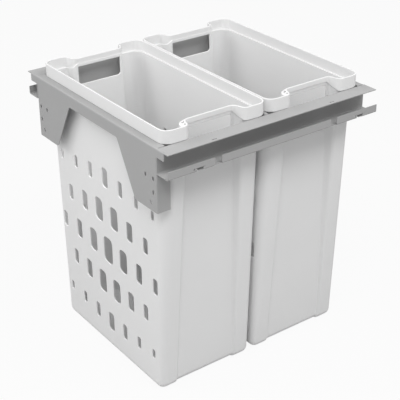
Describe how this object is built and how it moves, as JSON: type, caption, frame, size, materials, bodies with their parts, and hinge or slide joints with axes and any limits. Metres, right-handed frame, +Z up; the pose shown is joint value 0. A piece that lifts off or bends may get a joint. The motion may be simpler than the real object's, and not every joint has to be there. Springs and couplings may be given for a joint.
{
  "type": "pull-out laundry basket",
  "caption": "Pull-out laundry unit for a kitchen or utility cabinet: perforated tapered baskets with handle holes hang by their rims in a folded steel frame made to sit on cabinet runners.",
  "frame": {"origin": "on the centre line, in the plane of the front plate's outer face, at the height of the channels' undersides, where the unit sits on its runners", "axes": "+X across the cabinet to the right side, +Y into the cabinet, away from the front panel, +Z up"},
  "size_m": [0.452, 0.4545, 0.529],
  "materials": {
    "frame_paint": "fine satin grey powder coat on folded sheet steel",
    "basket_plastic": "light grey moulded polypropylene with a fine satin grain"
  },
  "bodies": {
    "carrier": {"front_plate": "frame_paint", "rear_plate": "frame_paint", "crossbar": "frame_paint", "channel_left": "frame_paint", "channel_right": "frame_paint"},
    "front_basket": {"basket_front": "basket_plastic"},
    "rear_basket": {"basket_rear": "basket_plastic"}
  },
  "joints": [
    {"name": "front_basket_lift", "type": "slide", "parent": "carrier", "child": "front_basket", "axis": [0, 0, 1], "range_m": [0, 0.53]},
    {"name": "rear_basket_lift", "type": "slide", "parent": "carrier", "child": "rear_basket", "axis": [0, 0, 1], "range_m": [0, 0.53]}
  ]
}
